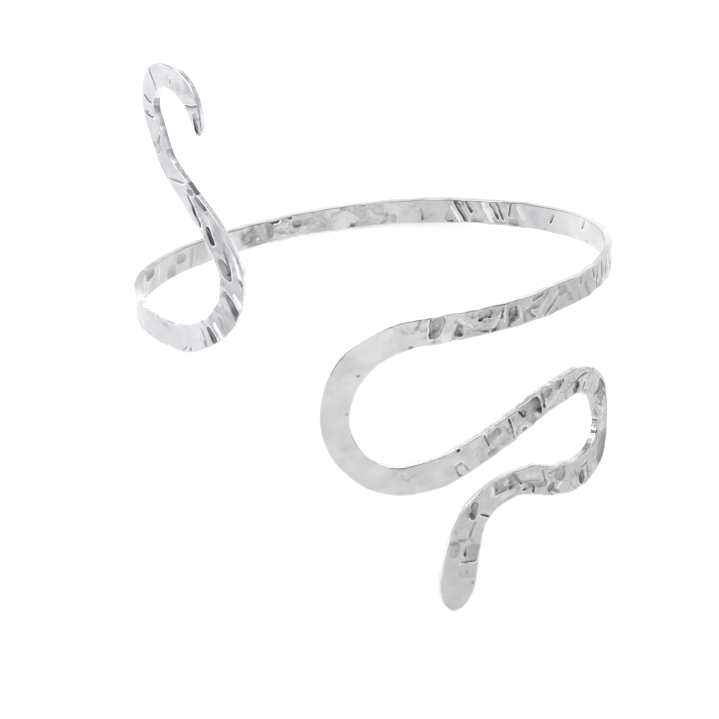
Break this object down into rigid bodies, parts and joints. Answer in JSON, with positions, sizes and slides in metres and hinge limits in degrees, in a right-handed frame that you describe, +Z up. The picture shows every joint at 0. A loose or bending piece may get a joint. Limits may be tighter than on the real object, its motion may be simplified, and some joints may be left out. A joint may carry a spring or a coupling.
{
  "type": "upper arm cuff",
  "caption": "Open upper arm cuff: one hammered silver strip bent into a snake that winds round the arm, with a hooked tail, a wide bend in front and a rounded head.",
  "frame": {"origin": "middle of the bounding box on the ground, as the cuff rests by itself on its head and the back of its band", "axes": "+Z up; -Y towards the front, where the strip's bends and the head are; +X to the wearer-side right of the picture. The arm's axis leans back from +Z towards +Y by about 34 degrees."},
  "size_m": [0.0896, 0.0922, 0.0785],
  "materials": {
    "hammered_silver": "polished silver, hammered into small facets on both faces and along the edges"
  },
  "bodies": {
    "root": {"serpent_band": "hammered_silver"}
  },
  "joints": []
}
